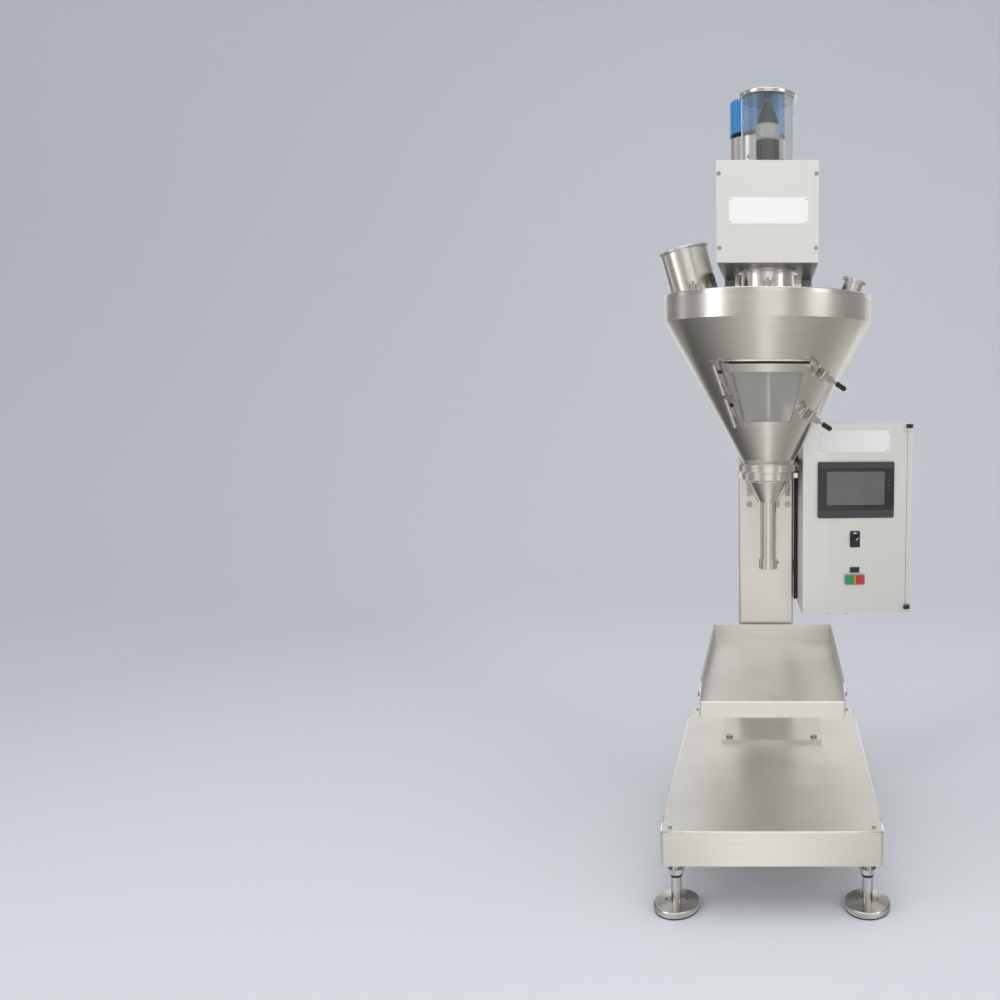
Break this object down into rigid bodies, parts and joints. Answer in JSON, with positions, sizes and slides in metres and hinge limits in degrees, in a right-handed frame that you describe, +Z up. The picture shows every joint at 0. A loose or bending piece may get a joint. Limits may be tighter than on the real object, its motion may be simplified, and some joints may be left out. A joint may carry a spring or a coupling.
{
  "type": "auger powder filler",
  "caption": "Floor-standing stainless powder filler: conical hopper with inspection door, belt-driven agitator, auger spout over a tray, column, and control enclosure on the side.",
  "frame": {"origin": "point on the floor straight under the auger's axis", "axes": "+Z up, +X to the operator's right, +Y from the operator to the column"},
  "size_m": [0.6492, 0.765, 1.89],
  "materials": {
    "stainless": "brushed stainless sheet",
    "bright_steel": "machined steel",
    "box_grey": "matt light warm grey",
    "clear": "clear acrylic",
    "rubber": "black rubber",
    "motor_black": "dark housing",
    "motor_blue": "blue enamel",
    "pulley": "turned aluminium",
    "black_plastic": "black moulded plastic",
    "screen": "dark glossy screen",
    "panel_zinc": "plain plate with modules",
    "green": "green cap",
    "red": "red cap"
  },
  "bodies": {
    "frame": {"base_pan": "stainless", "base_frame": "stainless", "foot_soles": "rubber", "levelling_feet": "bright_steel", "foot_nuts": "bright_steel", "column": "stainless", "column_bolts": "bright_steel", "tray": "stainless", "tray_sides": "stainless", "tray_bracket": "stainless", "cover_screws": "bright_steel", "hopper_bowl": "stainless", "hopper_seals": "rubber", "hopper_lid": "stainless", "powder_inlet": "stainless", "vent_spigot": "stainless", "wing_nuts": "bright_steel", "hopper_carrier": "stainless", "clamp_ring": "stainless", "funnel": "stainless", "auger_tube": "stainless", "spout_collar": "stainless", "door_hinge_fixed": "bright_steel", "latch_bases": "bright_steel", "neck_housing": "stainless", "shaft_bearings": "bright_steel", "drive_box": "box_grey", "drive_box_cover": "box_grey", "servo_motor": "motor_black", "guard_tube": "clear", "guard_cap": "bright_steel", "stirrer_motor": "bright_steel", "stirrer_cap": "motor_blue", "drive_belt": "rubber", "enclosure_body": "stainless", "enclosure_hinges": "black_plastic", "enclosure_bracket": "stainless", "mounting_panel": "panel_zinc", "cable_glands": "black_plastic"},
    "auger": {"auger": "bright_steel", "shaft_coupling": "bright_steel"},
    "agitator": {"agitator": "stainless", "agitator_pulley": "pulley"},
    "motor_pulley": {"motor_pulley": "pulley"},
    "hopper_door": {"door_frame": "stainless", "door_pane": "clear", "door_seal": "rubber", "door_hinge_leaf": "bright_steel", "latch_keepers": "stainless"},
    "latch_upper": {"latch_lever_upper": "bright_steel"},
    "bail_upper": {"latch_bail_upper": "bright_steel"},
    "latch_lower": {"latch_lever_lower": "bright_steel"},
    "bail_lower": {"latch_bail_lower": "bright_steel"},
    "enclosure_door": {"enclosure_door": "stainless", "touch_panel": "black_plastic", "panel_screen": "screen", "control_plates": "black_plastic"},
    "selector": {"selector_knob": "black_plastic"},
    "start_button": {"start_button": "green"},
    "stop_button": {"stop_button": "red"}
  },
  "joints": [
    {"name": "auger_spin", "type": "hinge", "parent": "frame", "child": "auger", "pos_m": [0, 0, 0.9], "axis": [0, 0, 1], "continuous": true},
    {"name": "agitator_spin", "type": "hinge", "parent": "frame", "child": "agitator", "pos_m": [0, 0, 1.2], "axis": [0, 0, 1], "continuous": true},
    {"name": "motor_pulley_spin", "type": "hinge", "parent": "frame", "child": "motor_pulley", "pos_m": [-0.025, 0.146, 1.478], "axis": [0, 0, 1], "continuous": true},
    {"name": "hopper_door_hinge", "type": "hinge", "parent": "frame", "child": "hopper_door", "pos_m": [-0.09801, -0.1349, 1.15], "axis": [0.2836, 0.3903, -0.8759], "range_deg": [0, 110]},
    {"name": "latch_upper_lever", "type": "hinge", "parent": "frame", "child": "latch_upper", "pos_m": [0.12713, -0.16301, 1.206], "axis": [-0.5918, 0.0974, -0.8002], "range_deg": [0, 100]},
    {"name": "latch_upper_bail", "type": "hinge", "parent": "latch_upper", "child": "bail_upper", "pos_m": [0.13433, -0.15441, 1.20172], "axis": [-0.5918, 0.0974, -0.8002], "range_deg": [-100, 0]},
    {"name": "latch_lower_lever", "type": "hinge", "parent": "frame", "child": "latch_lower", "pos_m": [0.1002, -0.11675, 1.11], "axis": [-0.5957, 0.0695, -0.8002], "range_deg": [0, 100]},
    {"name": "latch_lower_bail", "type": "hinge", "parent": "latch_lower", "child": "bail_lower", "pos_m": [0.10699, -0.10783, 1.10573], "axis": [-0.5957, 0.0695, -0.8002], "range_deg": [-100, 0]},
    {"name": "enclosure_door_hinge", "type": "hinge", "parent": "frame", "child": "enclosure_door", "pos_m": [0.37042, 0.13946, 0.83], "axis": [0, 0, 1], "range_deg": [0, 110]},
    {"name": "selector_turn", "type": "hinge", "parent": "enclosure_door", "child": "selector", "pos_m": [0.23187, 0.13177, 0.7755], "axis": [0.0698, -0.9976, 0], "range_deg": [-45, 45]},
    {"name": "start_press", "type": "slide", "parent": "enclosure_door", "child": "start_button", "axis": [-0.0698, 0.9976, 0], "range_m": [0, 0.004], "stiffness_N_per_m": 400},
    {"name": "stop_press", "type": "slide", "parent": "enclosure_door", "child": "stop_button", "axis": [-0.0698, 0.9976, 0], "range_m": [0, 0.004], "stiffness_N_per_m": 400}
  ],
  "couplings": [
    {"joint": "motor_pulley_spin", "follows": "agitator_spin", "ratio": 1.7037},
    {"joint": "latch_upper_bail", "follows": "latch_upper_lever", "ratio": -1},
    {"joint": "latch_lower_bail", "follows": "latch_lower_lever", "ratio": -1}
  ]
}
